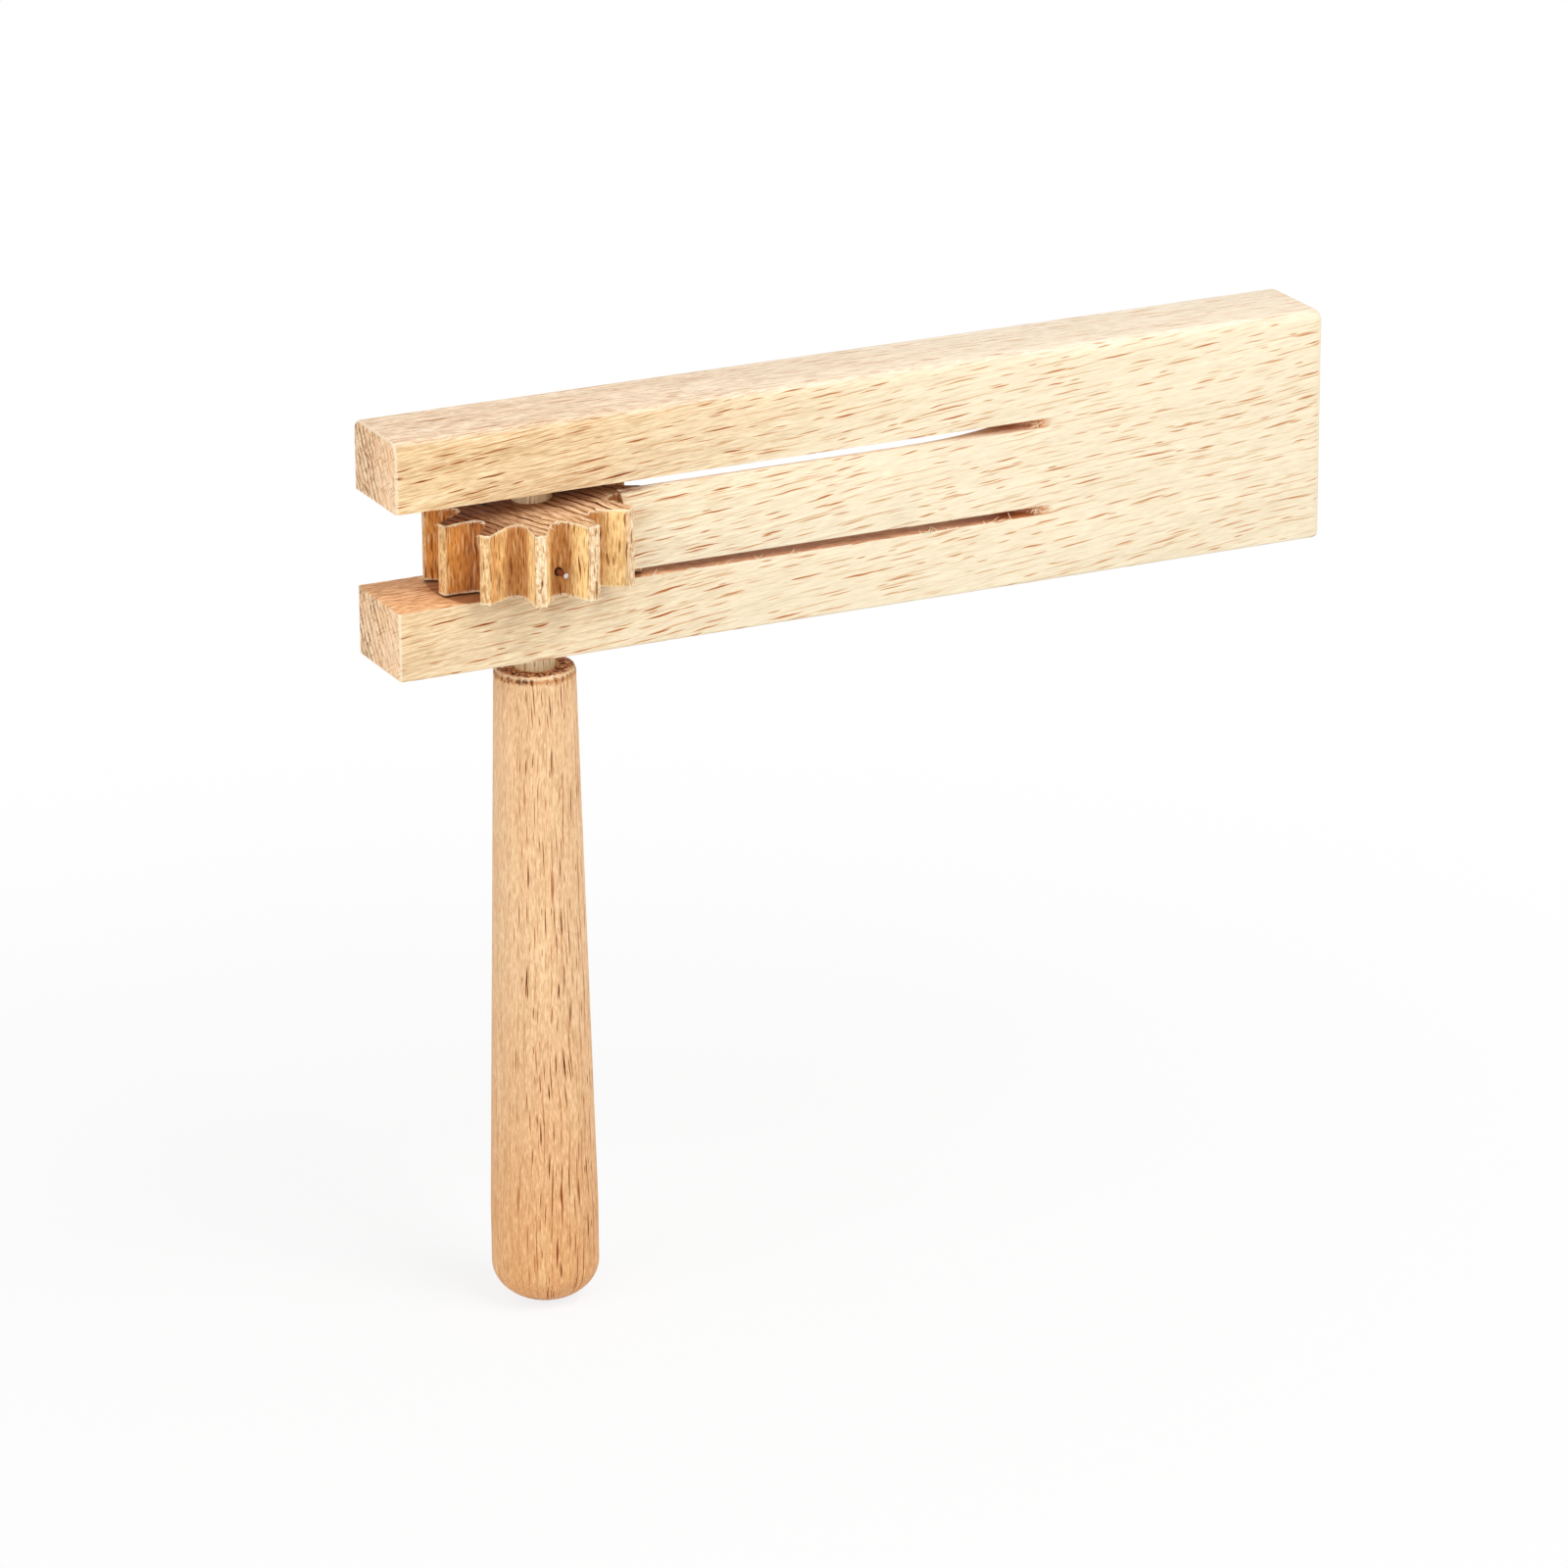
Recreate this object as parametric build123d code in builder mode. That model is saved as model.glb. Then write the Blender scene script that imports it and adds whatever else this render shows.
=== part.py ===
from build123d import *

import os
from math import asin, cos, degrees, radians, sin, sqrt

# A wooden ratchet noisemaker. A sawn block of beech spins round a toothed wheel on a turned handle,
# and a tongue left standing in the block snaps from tooth to tooth.
# Millimetres. The origin is the middle of the handle, +Z runs up the axle, +X to the block's tail,
# and the tongue lies in the front face, on the -Y side.

# Head block
block_length = 151.0
block_thickness = 15.0
upper_arm_height = 10.5
slot_height = 14.7
lower_arm_height = 10.4
axle_from_end = 24.2
top_edge_round = 1.8
edge_round = 0.5

# Saw cuts that free the tongue, made from the front with a disc that reaches past the back face
kerf_width = 1.3
kerf_reach = 79.2
saw_radius = 58.0
saw_overcut = 2.0

# Tongue, and the hollow behind it
tongue_reach = 57.0
tongue_thickness = 1.2
hollow_runout_radius = 45.0
tooth_clearance = 0.3
flex_clearance = 0.25

# Ratchet wheel
tooth_count = 12
wheel_radius = 15.8
tooth_depth = 4.8
tooth_tip_width = 1.55
valley_round = 1.6
wheel_float = 0.3
wheel_headroom = 3.4

# Axle and its seats
axle_radius = 3.0
running_clearance = 0.08
glue_clearance = 0.04
cover_over_axle = 3.5
axle_end_play = 0.3
axle_in_handle = 28.0
axle_chamfer = 0.4

# Pin that locks the wheel to the axle, in the second valley before the tongue
pin_radius = 0.4
pin_clearance = 0.01
pin_stand_out = 2.4
pin_bite = 2.2
pin_height = 3.7
pin_slant = 8.5
pin_valleys_back = 2
pin_end_chamfer = 0.1

# Handle
handle_length = 99.4
handle_gap = 3.0
handle_top_radius = 6.0
handle_butt_radius = 8.0
butt_band_length = 9.0
butt_round_height = 6.0
rim_round = 0.75
mouth_chamfer = 0.5

# Heights
handle_bottom = -handle_length / 2
handle_top = handle_length / 2
block_bottom = handle_top + handle_gap
slot_floor = block_bottom + lower_arm_height
slot_roof = slot_floor + slot_height
block_top = slot_roof + upper_arm_height
tongue_bottom = slot_floor + kerf_width
tongue_top = slot_roof - kerf_width
wheel_bottom = slot_floor + wheel_float
wheel_height = slot_height - wheel_float - wheel_headroom
axle_top = block_top - cover_over_axle - axle_end_play
axle_bottom = handle_top - axle_in_handle

# Places in plan
block_left = -axle_from_end
front = -block_thickness / 2
tongue_back = front + tongue_thickness
saw_depth = block_thickness + saw_overcut
saw_half_chord = sqrt(saw_radius**2 - (saw_radius - saw_depth) ** 2)
saw_centre = (kerf_reach - saw_half_chord, front + saw_depth - saw_radius)

# The wheel is turned so that one tooth lies close behind the tongue. The tongue then ends short of the
# next tooth, in the valley between them, so it can flex forward past that tooth.
pitch_angle = 360 / tooth_count
root_radius = wheel_radius - tooth_depth
valley_half_angle = pitch_angle / 2 - degrees(asin(tooth_tip_width / 2 / wheel_radius))
tooth_behind_angle = -degrees(asin((-tongue_back - tooth_clearance) / wheel_radius))
valley_angle = tooth_behind_angle - valley_half_angle
tooth_in_front_angle = valley_angle - valley_half_angle
tongue_tip = wheel_radius * cos(radians(tooth_in_front_angle)) + flex_clearance

# The pin enters at the middle of its valley's floor and slants a little off the wheel's centre
pin_valley_angle = valley_angle - pin_valleys_back * pitch_angle
pin_angle = pin_valley_angle + pin_slant
pin_embedded = root_radius - axle_radius + pin_bite
pin_mouth = (
    root_radius * cos(radians(pin_valley_angle)),
    root_radius * sin(radians(pin_valley_angle)),
    wheel_bottom + pin_height,
)
pin_direction = (cos(radians(pin_angle)), sin(radians(pin_angle)), 0)
pin_plane = Plane(origin=pin_mouth, z_dir=pin_direction)

os.makedirs("parts", exist_ok=True)

# Head block: the upper and lower arm, the tail and the tongue's root in one piece
with BuildPart() as head_block:
    with BuildSketch(Plane.XY.offset(block_bottom)):
        with Locations((block_left, 0)):
            Rectangle(block_length, block_thickness, align=(Align.MIN, Align.CENTER))
    extrude(amount=block_top - block_bottom)
    long_top_edges = head_block.edges().group_by(Axis.Z)[-1].filter_by(Axis.X)
    tail_edges = head_block.edges().group_by(Axis.X)[-1].sort_by(Axis.Z)[1:]
    fillet(long_top_edges + tail_edges, top_edge_round)
    bottom_edges = head_block.faces().sort_by(Axis.Z)[0].edges()
    fork_end_edges = head_block.faces().sort_by(Axis.X)[0].edges()
    fillet(bottom_edges + fork_end_edges, edge_round)
    # Slot between the arms, as far as the tongue's root
    with BuildSketch(Plane.XZ):
        with Locations((block_left, slot_floor)):
            Rectangle(tongue_reach - block_left, slot_height, align=(Align.MIN, Align.MIN))
    extrude(amount=block_thickness, both=True, mode=Mode.SUBTRACT)
    # Hollow behind the tongue's root, running out to the back face
    with BuildSketch(Plane.XY.offset(slot_floor)):
        with Locations((tongue_reach, tongue_back + hollow_runout_radius)):
            Circle(hollow_runout_radius)
    extrude(amount=slot_height, mode=Mode.SUBTRACT)
    # Saw cuts below and above the tongue's root
    with BuildSketch(Plane.XY.offset(slot_floor), Plane.XY.offset(tongue_top)):
        with Locations(saw_centre):
            Circle(saw_radius)
    extrude(amount=kerf_width, mode=Mode.SUBTRACT)
    # Bores for the axle: through the lower arm, blind in the upper arm
    with Locations((0, 0, slot_floor)):
        Hole(axle_radius + running_clearance, depth=lower_arm_height)
    with Locations(-Plane.XY.offset(slot_roof)):
        Hole(axle_radius + running_clearance, depth=upper_arm_height - cover_over_axle)
head_block.part.label = "head_block"
export_step(head_block.part, "parts/head_block.step")

# Tongue: a flat leaf flush with the block's front face, from its root to the wheel
with BuildPart() as tongue:
    with BuildSketch(Plane.XY.offset(tongue_bottom)):
        with Locations((tongue_tip, front)):
            Rectangle(tongue_reach - tongue_tip, tongue_thickness, align=(Align.MIN, Align.MIN))
    extrude(amount=tongue_top - tongue_bottom)
tongue.part.label = "tongue"
export_step(tongue.part, "parts/tongue.step")

# One tooth valley: a rounded floor with straight flanks that part at the tooth tips
tip_corner = Vector(wheel_radius, 0).rotate(Axis.Z, valley_half_angle)
beyond_rim = tip_corner * (1 + tooth_depth / wheel_radius)
with BuildSketch() as valley:
    with BuildLine():
        CenterArc((root_radius + valley_round, 0), valley_round, 0, 360)
        Line(tip_corner, beyond_rim)
        Line((tip_corner.X, -tip_corner.Y), (beyond_rim.X, -beyond_rim.Y))
    make_hull()

# Ratchet wheel
with BuildPart() as ratchet_wheel:
    with BuildSketch(Plane.XY.offset(wheel_bottom)):
        Circle(wheel_radius)
        with PolarLocations(0, tooth_count, start_angle=valley_angle):
            add(valley.sketch, mode=Mode.SUBTRACT)
        Circle(axle_radius + glue_clearance, mode=Mode.SUBTRACT)
    extrude(amount=wheel_height)
    with Locations(pin_plane):
        Hole(pin_radius + pin_clearance, depth=pin_embedded)
ratchet_wheel.part.label = "ratchet_wheel"
export_step(ratchet_wheel.part, "parts/ratchet_wheel.step")

# Axle: a dowel from deep in the handle to just under the end of the upper arm's bore
with BuildPart() as axle:
    with BuildSketch(Plane.XY.offset(axle_bottom)):
        Circle(axle_radius)
    extrude(amount=axle_top - axle_bottom)
    chamfer(axle.edges().filter_by(GeomType.CIRCLE), axle_chamfer)
    with Locations(pin_plane):
        Hole(pin_radius + pin_clearance, depth=pin_embedded)
axle.part.label = "axle"
export_step(axle.part, "parts/axle.step")

# Wheel pin: a headless wire brad driven through the wheel into the axle
with BuildPart() as wheel_pin:
    with BuildSketch(pin_plane.offset(-pin_embedded)):
        Circle(pin_radius)
    extrude(amount=pin_embedded + pin_stand_out)
    chamfer(wheel_pin.edges().filter_by(GeomType.CIRCLE), pin_end_chamfer)
wheel_pin.part.label = "wheel_pin"
export_step(wheel_pin.part, "parts/wheel_pin.step")

# Handle: turned, tapered towards the top, with a parallel band and a rounded end at the butt
band_bottom = handle_bottom + butt_round_height
band_top = band_bottom + butt_band_length
with BuildPart() as handle:
    with BuildSketch(Plane.XZ):
        with BuildLine():
            butt = EllipticalCenterArc(
                (0, band_bottom), handle_butt_radius, butt_round_height, start_angle=-90, arc_size=90
            )
            Polyline(
                butt @ 1,
                (handle_butt_radius, band_top),
                (handle_top_radius, handle_top),
                (0, handle_top),
                butt @ 0,
            )
        make_face()
    revolve(axis=Axis.Z)
    fillet(handle.edges().group_by(Axis.Z)[-1], rim_round)
    with Locations((0, 0, handle_top)):
        Hole(axle_radius + glue_clearance, depth=axle_in_handle)
    mouth_edge = handle.edges().filter_by(GeomType.CIRCLE).group_by(Axis.Z)[-1].sort_by(SortBy.RADIUS)[0]
    chamfer(mouth_edge, mouth_chamfer)
handle.part.label = "handle"
export_step(handle.part, "parts/handle.step")
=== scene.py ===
import math
import random
from contextlib import contextmanager
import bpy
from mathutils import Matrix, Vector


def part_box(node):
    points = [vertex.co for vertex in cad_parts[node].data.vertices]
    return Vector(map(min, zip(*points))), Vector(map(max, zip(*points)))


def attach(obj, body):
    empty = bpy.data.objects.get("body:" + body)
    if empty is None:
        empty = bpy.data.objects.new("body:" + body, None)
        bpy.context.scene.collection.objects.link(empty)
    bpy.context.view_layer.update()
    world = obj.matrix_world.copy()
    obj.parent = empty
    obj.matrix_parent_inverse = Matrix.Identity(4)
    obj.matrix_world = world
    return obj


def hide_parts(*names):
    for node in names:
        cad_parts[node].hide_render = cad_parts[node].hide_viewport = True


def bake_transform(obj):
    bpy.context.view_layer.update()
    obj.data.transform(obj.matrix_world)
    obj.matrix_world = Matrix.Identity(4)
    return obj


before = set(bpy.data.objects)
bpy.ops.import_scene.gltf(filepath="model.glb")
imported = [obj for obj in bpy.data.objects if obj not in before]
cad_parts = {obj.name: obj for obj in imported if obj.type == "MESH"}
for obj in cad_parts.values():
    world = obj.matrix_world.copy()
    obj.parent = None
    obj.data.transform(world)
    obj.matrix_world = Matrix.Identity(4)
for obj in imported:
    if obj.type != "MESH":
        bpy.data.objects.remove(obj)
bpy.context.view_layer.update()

from types import SimpleNamespace

import bmesh
import bpy
from mathutils import Matrix, Vector

# A wooden ratchet noisemaker: the grain, the sawn and turned surfaces and the frayed edges of each piece.
# Metres, in the frame's own axes: +Z up the axle, +X to the block's tail, the tongue on the -Y face.

MM = 0.001
TOUCH = 0.01 * MM
FLUSH = 0.001 * MM

# Places that come from the frame
block_low, block_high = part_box("head_block")
tongue_low, tongue_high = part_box("tongue")
wheel_low, wheel_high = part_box("ratchet_wheel")
axle_low, axle_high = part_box("axle")
handle_low, handle_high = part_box("handle")

# Head block
KERF_WIDTH = 1.3 * MM
KERF_REACH = 79.2 * MM
SAW_RADIUS = 58 * MM
SAW_OVERCUT = 2 * MM
HOLLOW_RUNOUT_RADIUS = 45 * MM
BORE_RADIUS = 3.08 * MM
BORE_COVER = 3.5 * MM
TOP_EDGE_ROUND = 1.8 * MM
EDGE_ROUND = 0.5 * MM
SAWN_EDGE_ROUND = 0.18 * MM
SAWN_EDGE_STEP = 0.7 * MM
TEAR = 0.07 * MM
TORN_REACH = 0.25 * MM
CHIP = 0.18 * MM
UNCHIPPED_SHARE = 0.95
SLOT_FLOOR = tongue_low.z - KERF_WIDTH
SLOT_ROOF = tongue_high.z + KERF_WIDTH
SAWN_LINES = (SLOT_FLOOR, tongue_low.z, tongue_high.z, SLOT_ROOF)
SAW_DEPTH = block_high.y - block_low.y + SAW_OVERCUT
SAW_CENTRE = Vector((
    KERF_REACH - math.sqrt(SAW_RADIUS ** 2 - (SAW_RADIUS - SAW_DEPTH) ** 2),
    block_low.y + SAW_DEPTH - SAW_RADIUS,
    0,
))

# Tongue
LEAF_STEPS = 64
TIP_STEPS = 28
LEAF_EDGE_ROUND = 0.12 * MM
LEAF_EDGE_REACH = 0.2 * MM
TIP_REACH = 0.3 * MM
TIP_LEAN_REACH = 0.35 * MM
TIP_LEAN_STEP = 0.11 * MM
TIP_LEAN_STEPS = 6
ROOT_MARGIN = 0.6 * MM

# Wheel
TOOTH_COUNT = 12
TOOTH_PITCH = 2 * math.pi / TOOTH_COUNT
WHEEL_RADIUS = 15.8 * MM
TOOTH_DEPTH = 4.8 * MM
ROOT_RADIUS = WHEEL_RADIUS - TOOTH_DEPTH
TOOTH_TIP_WIDTH = 1.55 * MM
VALLEY_ROUND = 1.6 * MM
TOOTH_CLEARANCE = 0.3 * MM
STEPS_PER_TOOTH = 32
SAME_TURN = 0.001
RIM_SOFTENING = 0.15 * MM
RIM_DEPTH = 0.2 * MM
TOP_REACH = 0.5 * MM
UPPER_FRAY = 0.08 * MM
LOWER_FRAY = 0.12 * MM
# Half a valley's angle at its mouth, and the direction of the valley that the tongue lies in
HALF_MOUTH = math.pi / TOOTH_COUNT - math.asin(TOOTH_TIP_WIDTH / 2 / WHEEL_RADIUS)
TONGUE_VALLEY = -math.asin((-tongue_high.y - TOOTH_CLEARANCE) / WHEEL_RADIUS) - HALF_MOUTH
# The upper face was sawn a little off square: its lift at the axle, and its rise along x and y
WHEEL_TOP_LIFT = 0.75 * MM
WHEEL_TOP_RISE_X = 0.0675
WHEEL_TOP_RISE_Y = 0.0429

# Handle and axle
RIM_ROUND = 0.75 * MM
RIM_TEAR = 0.1 * MM
MOUTH_CHAMFER = 0.5 * MM
BUTT_BAND_LENGTH = 9 * MM
BUTT_ROUND_HEIGHT = 6 * MM
HANDLE_TOP_RADIUS = 6 * MM
AXLE_RADIUS = 3 * MM
AXLE_CHAMFER = 0.4 * MM
GLUE_CLEARANCE = 0.04 * MM

# Pin
PIN_RADIUS = 0.4 * MM
PIN_STAND_OUT = 2.4 * MM
PIN_BITE = 2.2 * MM
PIN_HEIGHT = 3.7 * MM
PIN_SLANT = math.radians(8.5)
PIN_VALLEYS_BACK = 2
PIN_HOLE_CLEARANCE = 0.12 * MM
PIN_HOLE_DEPTH = 1.5 * MM
PIN_WEDGE_INSET = 0.12 * MM
PIN_WEDGE_SQUEEZE = 0.45
PIN_WEDGE_PUSH = 0.05 * MM
PIN_EDGE_ROUND = 0.05 * MM

# Torn fibres
HAIR_LENGTHS = (0.5, 1.5)
HAIR_WIDTHS = (0.10, 0.20)
HAIR_LEAN = 0.45
HAIR_SINK = 0.06 * MM
KERF_TAIL_HAIRS = 26
SLOT_HAIRS = 22
KERF_END_HAIRS = 12
WHEEL_HAIRS = 170
LOWER_RIM_SHARE = 0.62


# Modelling by hand: selection, edit mode and modifiers

def pick(piece):
    """Selects one piece alone and makes it active."""
    bpy.ops.object.select_all(action="DESELECT")
    piece.select_set(True)
    bpy.context.view_layer.objects.active = piece


@contextmanager
def edit_mode(piece, kind="EDGE"):
    """Edit mode on one piece, with nothing selected at first."""
    pick(piece)
    bpy.ops.object.mode_set(mode="EDIT")
    bpy.ops.mesh.select_mode(type=kind)
    bpy.ops.mesh.select_all(action="DESELECT")
    yield bmesh.from_edit_mesh(piece.data)
    bpy.ops.object.mode_set(mode="OBJECT")


def choose(mesh, parts, wanted):
    """Selects the vertices, edges or faces that pass a test, and drops the rest."""
    for part in parts:
        part.select_set(bool(wanted(part)))
    mesh.select_flush_mode()
    bmesh.update_edit_mesh(bpy.context.edit_object.data)


def middle(edge):
    return (edge.verts[0].co + edge.verts[1].co) / 2


def along(edge, axis):
    """True where an edge runs along X, Y or Z."""
    run = (edge.verts[1].co - edge.verts[0].co).normalized()
    return abs(run["XYZ".index(axis)]) > 0.999


def near(a, b, reach=TOUCH):
    return abs(a - b) < reach


def named(name):
    """Names the piece that was just added, with its place applied to its mesh."""
    piece = bpy.context.active_object
    piece.name = name
    piece.data.name = name
    pick(piece)
    bpy.ops.object.transform_apply(location=True, rotation=True, scale=True)
    return piece


def add_box(name, low, high):
    bpy.ops.mesh.primitive_cube_add(size=1, location=(low + high) / 2, scale=high - low)
    return named(name)


def add_cylinder(name, radius, bottom, top, vertices=96):
    """A cylinder from the middle of its bottom to the middle of its top."""
    run = top - bottom
    bpy.ops.mesh.primitive_cylinder_add(
        vertices=vertices, radius=radius, depth=run.length, location=(bottom + top) / 2,
        rotation=run.to_track_quat("Z", "Y").to_euler(),
    )
    return named(name)


def add_upright(name, radius, centre, bottom, top, vertices=96):
    """An upright cylinder between two heights."""
    ends = (centre + Vector((0, 0, height)) for height in (bottom, top))
    return add_cylinder(name, radius, *ends, vertices)


def add_holder(name, data):
    """Puts a new object with the given data in the scene."""
    holder = bpy.data.objects.new(name, data)
    bpy.context.collection.objects.link(holder)
    return holder


def soften(piece, wanted, offset, segments=2, clamp=True):
    """Rounds the chosen edges."""
    with edit_mode(piece) as mesh:
        choose(mesh, mesh.edges, wanted)
        bpy.ops.mesh.bevel(offset=offset, segments=segments, affect="EDGES", clamp_overlap=clamp)


def divide(piece, wanted, cuts):
    """Cuts the chosen edges into equal steps."""
    with edit_mode(piece) as mesh:
        choose(mesh, mesh.edges, wanted)
        bpy.ops.mesh.subdivide(number_cuts=cuts)


def shift(piece, wanted, way):
    """Moves the chosen points."""
    with edit_mode(piece, "VERT") as mesh:
        choose(mesh, mesh.verts, wanted)
        bpy.ops.transform.translate(value=way)


def cut(piece, *cutters):
    """Saws or drills the cutters out of a piece and throws them away."""
    pick(piece)
    for cutter in cutters:
        saw = piece.modifiers.new("Saw", "BOOLEAN")
        saw.operation = "DIFFERENCE"
        saw.solver = "EXACT"
        saw.object = cutter
        bpy.ops.object.modifier_apply(modifier=saw.name)
        bpy.data.objects.remove(cutter)


def is_sharp(edge, angle=math.radians(40)):
    return len(edge.link_faces) == 2 and edge.calc_face_angle() > angle


def smooth(piece, angle=math.radians(35)):
    pick(piece)
    bpy.ops.object.shade_smooth_by_angle(angle=angle)


def tidy(piece, merge=0.002 * MM):
    """Merges doubles and turns every face outwards."""
    with edit_mode(piece, "VERT"):
        bpy.ops.mesh.select_all(action="SELECT")
        bpy.ops.mesh.remove_doubles(threshold=merge)
        bpy.ops.mesh.normals_make_consistent(inside=False)


def ruffle(piece, wanted, reach, seed, flat=None, place=0.0):
    """Jitters the chosen points, and presses them flat again along an axis where they bound a flat face."""
    with edit_mode(piece, "VERT") as mesh:
        choose(mesh, mesh.verts, wanted)
        bpy.ops.transform.vertex_random(offset=reach, seed=seed)
        if flat:
            squeeze = [float(axis != flat) for axis in "XYZ"]
            plane = [place * (axis == flat) for axis in "XYZ"]
            bpy.ops.transform.resize(value=squeeze, center_override=plane)


def finish_piece(piece, body, slot, material, *nodes):
    """Gives a piece its material and its body, and lets it stand for the nodes that it replaces."""
    piece.data.materials.clear()
    piece.data.materials.append(material)
    if nodes:
        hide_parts(*nodes)
    if body:
        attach(piece, body)


# Material nodes

class Amount:
    """A number that a node gives, so that sums of such numbers are written as sums."""

    def __init__(self, board, socket):
        self.board = board
        self.socket = socket

    def __add__(self, other):
        return self.board.math("ADD", self, other)

    def __sub__(self, other):
        return self.board.math("SUBTRACT", self, other)

    def __rsub__(self, other):
        return self.board.math("SUBTRACT", other, self)

    def __mul__(self, other):
        return self.board.math("MULTIPLY", self, other)

    def __truediv__(self, other):
        return self.board.math("DIVIDE", self, other)

    def __gt__(self, other):
        return self.board.math("GREATER_THAN", self, other)

    def __neg__(self):
        return self * -1.0

    def __abs__(self):
        return self.board.math("ABSOLUTE", self)

    __radd__ = __add__
    __rmul__ = __mul__

    def ramp(self, low, high, to_low=0.0, to_high=1.0):
        """A smooth step from one value to another. It falls where low is above high."""
        inputs = {"Value": self, "From Min": low, "From Max": high, "To Min": to_low, "To Max": to_high}
        step = self.board.node("MapRange", inputs, interpolation_type="SMOOTHSTEP")
        return Amount(self.board, step.outputs["Result"])

    def spread(self, to_low, to_high):
        """Takes a share of nought to one to a range of its own."""
        return self.ramp(0.0, 1.0, to_low, to_high)

    def band(self, low, rise, fall, high):
        """Set between two values, and faded out on both sides."""
        return self.ramp(low, rise) * self.ramp(high, fall)

    def fade(self, mask, depth):
        """Lowered by a share where a mask is set."""
        return self * (1.0 - mask * depth)

    def blend(self, a, b):
        """From one number to another, with this one as the share."""
        return a * (1.0 - self) + b * self


class Board:
    """The node tree of a material or a world, with short ways to add and link nodes."""

    def __init__(self, owner):
        owner.use_nodes = True
        self.owner = owner
        self.tree = owner.node_tree
        self.tree.nodes.clear()

    def put(self, value, socket):
        """Links a value that comes from another node, or writes one that is the same all over."""
        if isinstance(value, Amount):
            value = value.socket
        if isinstance(value, bpy.types.NodeSocket):
            self.tree.links.new(value, socket)
        elif socket.type == "RGBA":
            socket.default_value = (*value, 1.0)
        else:
            socket.default_value = value

    def node(self, kind, inputs=None, **settings):
        node = self.tree.nodes.new("ShaderNode" + kind)
        for key, value in settings.items():
            setattr(node, key, value)
        for key, value in (inputs or {}).items():
            self.put(value, node.inputs[key])
        return node

    def math(self, operation, a, b=0.0):
        return Amount(self, self.node("Math", {0: a, 1: b}, operation=operation).outputs[0])

    def larger(self, a, b):
        return self.math("MAXIMUM", a, b)

    def radius(self, a, b):
        """Distance from the axle."""
        return self.math("SQRT", a * a + b * b)

    def vector(self, operation, a, b):
        return self.node("VectorMath", {0: a, 1: b}, operation=operation).outputs[0]

    def measure(self, operation, *vectors):
        """A number from one vector or two, such as a length."""
        node = self.node("VectorMath", dict(enumerate(vectors)), operation=operation)
        return Amount(self, node.outputs["Value"])

    def millimetres(self, place):
        return self.vector("MULTIPLY", place, (1 / MM,) * 3)

    def split(self, vector):
        return [Amount(self, part) for part in self.node("SeparateXYZ", {"Vector": vector}).outputs]

    def join(self, x, y, z):
        return self.node("CombineXYZ", {"X": x, "Y": y, "Z": z}).outputs[0]

    def chance(self, *cell):
        """Four even random numbers for a cell of a grid."""
        dice = self.node("TexWhiteNoise", {"Vector": self.join(*cell)}, noise_dimensions="3D").outputs
        parts = self.node("SeparateColor", {"Color": dice["Color"]}).outputs
        return [Amount(self, part) for part in (*parts, dice["Value"])]

    def noise(self, place, stretch, detail=2.0, wanted="Fac"):
        """Noise in cells of the given lengths, in millimetres."""
        spread = self.vector("MULTIPLY", place, tuple(1 / length for length in stretch))
        inputs = {"Vector": spread, "Scale": 1.0, "Detail": detail, "Roughness": 0.6}
        return Amount(self, self.node("TexNoise", inputs).outputs[wanted])

    def mix(self, share, a, b, blend="MIX"):
        node = self.node("Mix", data_type="RGBA", blend_type=blend)
        self.put(share, node.inputs[0])
        self.put(a, node.inputs[6])
        self.put(b, node.inputs[7])
        return node.outputs[2]

    def warm(self, tint, level, green=1.6, blue=2.0):
        """Darkens or lightens a colour: the darker it gets the browner, and the lighter the creamier."""
        parts = {0: level, 1: self.math("POWER", level, green), 2: self.math("POWER", level, blue)}
        tone = self.node("CombineColor", parts).outputs[0]
        return self.mix(1.0, tint, tone, "MULTIPLY")

    def wood(self, tint, roughness, relief, depth):
        """Bare wood: colour and roughness from nodes, and relief as bumps of the given depth."""
        bump = self.node("Bump", {"Height": relief, "Distance": depth, "Strength": 0.6}).outputs[0]
        inputs = {"Base Color": tint, "Roughness": roughness, "Normal": bump, "Specular IOR Level": 0.22}
        return self.surface(self.node("BsdfPrincipled", inputs))

    def surface(self, shader, output="OutputMaterial"):
        self.put(shader.outputs[0], self.node(output).inputs["Surface"])
        return self.owner

    def in_view(self):
        """Set for what the camera sees, straight or in reflections."""
        path = self.node("LightPath").outputs
        seen = self.larger(path["Is Camera Ray"], path["Is Glossy Ray"])
        return self.larger(seen, path["Is Transmission Ray"])


def new_board(name):
    return Board(bpy.data.materials.new(name))


REST_PLACE = "rest_place"
REST_NORMAL = "rest_normal"
ALONG_BLOCK = (0, 0, 0)
ALONG_AXLE = (0, math.radians(90), 0)


def keep_rest(piece):
    """Writes places and directions at rest on a mesh, so that its grain bends with it."""
    mesh = piece.data
    places = mesh.attributes.new(REST_PLACE, "FLOAT_VECTOR", "POINT")
    for vertex in mesh.vertices:
        places.data[vertex.index].vector = vertex.co
    normals = mesh.attributes.new(REST_NORMAL, "FLOAT_VECTOR", "FACE")
    for face in mesh.polygons:
        normals.data[face.index].vector = face.normal


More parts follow.
